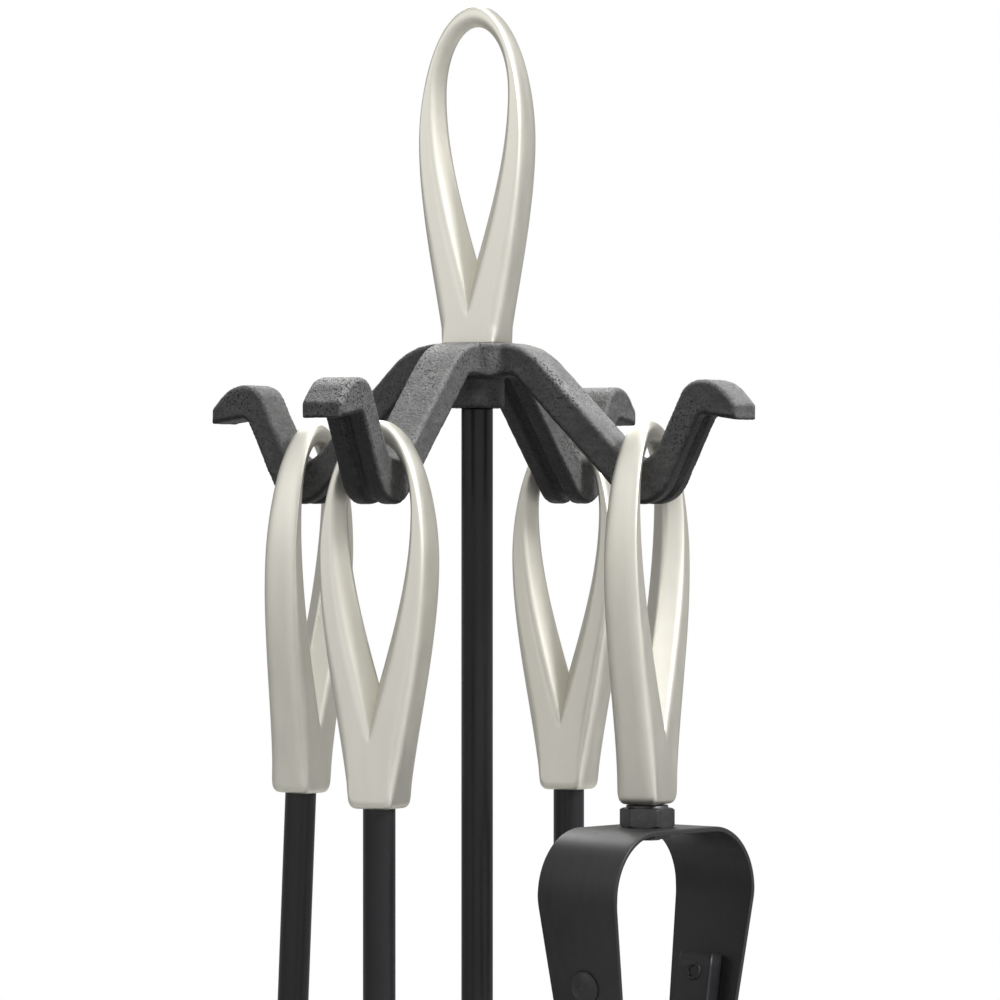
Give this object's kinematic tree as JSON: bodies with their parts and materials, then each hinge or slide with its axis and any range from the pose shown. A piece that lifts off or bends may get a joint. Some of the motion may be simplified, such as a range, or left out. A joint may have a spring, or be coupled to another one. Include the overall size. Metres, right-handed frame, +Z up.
{
  "type": "fireplace tool set",
  "caption": "Fireplace tool set: stand with cast S-shaped hooks and a loop handle, holding a poker, shovel, brush and spring tongs by teardrop loops.",
  "frame": {"origin": "on the floor under the pole, at the middle of the base's feet", "axes": "+Z up along the pole; the hook arms point along +X, +Y, -X and -Y"},
  "size_m": [0.2416, 0.2416, 0.7197],
  "materials": {
    "black_cast_iron": "rough sand casting, black paint",
    "black_steel": "satin black powder coat",
    "pewter": "satin pewter",
    "zinc_steel": "zinc plated",
    "rubber": "matte",
    "black_wood": "black lacquer",
    "bristle": "stiff black fibre"
  },
  "bodies": {
    "stand": {"base_plate": "black_cast_iron", "base_feet": "rubber", "base_washer": "zinc_steel", "base_bolt": "zinc_steel", "pole_tube": "black_steel", "pole_bottom_insert": "zinc_steel", "pole_top_insert": "zinc_steel", "hanger_casting": "black_cast_iron", "top_stud": "zinc_steel", "top_handle": "pewter"},
    "tongs": {"tongs_handle": "pewter", "tongs_stud": "zinc_steel", "tongs_nut": "black_steel", "tongs_lower_nut": "black_steel", "tongs_bow": "black_steel"},
    "tongs_left_arm": {"tongs_left_leg": "black_steel", "tongs_left_rivets": "black_steel"},
    "tongs_right_arm": {"tongs_right_leg": "black_steel", "tongs_right_rivets": "black_steel"},
    "brush": {"brush_handle": "pewter", "brush_rod": "black_steel", "brush_collar": "black_steel", "brush_block": "black_wood", "brush_bristles": "bristle"},
    "shovel": {"shovel_handle": "pewter", "shovel_rod": "black_steel", "shovel_tang": "black_steel", "shovel_pan": "black_steel", "shovel_rivets": "black_steel"},
    "poker": {"poker_handle": "pewter", "poker_rod": "black_steel", "poker_head": "black_steel"}
  },
  "joints": [
    {"name": "tongs_swing", "type": "hinge", "parent": "stand", "child": "tongs", "pos_m": [0.07716, 0, 0.53668], "axis": [0, -1, 0], "range_deg": [-2, 10]},
    {"name": "brush_swing", "type": "hinge", "parent": "stand", "child": "brush", "pos_m": [0, 0.07716, 0.53668], "axis": [1, 0, 0], "range_deg": [-2, 10]},
    {"name": "shovel_swing", "type": "hinge", "parent": "stand", "child": "shovel", "pos_m": [-0.07716, 0, 0.53668], "axis": [0, 1, 0], "range_deg": [-2, 10]},
    {"name": "poker_swing", "type": "hinge", "parent": "stand", "child": "poker", "pos_m": [0, -0.07716, 0.53668], "axis": [-1, 0, 0], "range_deg": [-2, 10]},
    {"name": "tongs_left_squeeze", "type": "hinge", "parent": "tongs", "child": "tongs_left_arm", "pos_m": [0.07026, -0.03649, 0.38441], "axis": [0.9826, -0.1857, 0], "range_deg": [0, 4.1], "stiffness_Nm_per_rad": 60, "deforming": ["tongs_bow"]},
    {"name": "tongs_right_squeeze", "type": "hinge", "parent": "tongs", "child": "tongs_right_arm", "pos_m": [0.08405, 0.03649, 0.38441], "axis": [-0.9826, 0.1857, 0], "range_deg": [0, 4.1], "stiffness_Nm_per_rad": 60, "deforming": ["tongs_bow"]}
  ],
  "couplings": [
    {"joint": "tongs_right_squeeze", "follows": "tongs_left_squeeze", "ratio": 1}
  ]
}
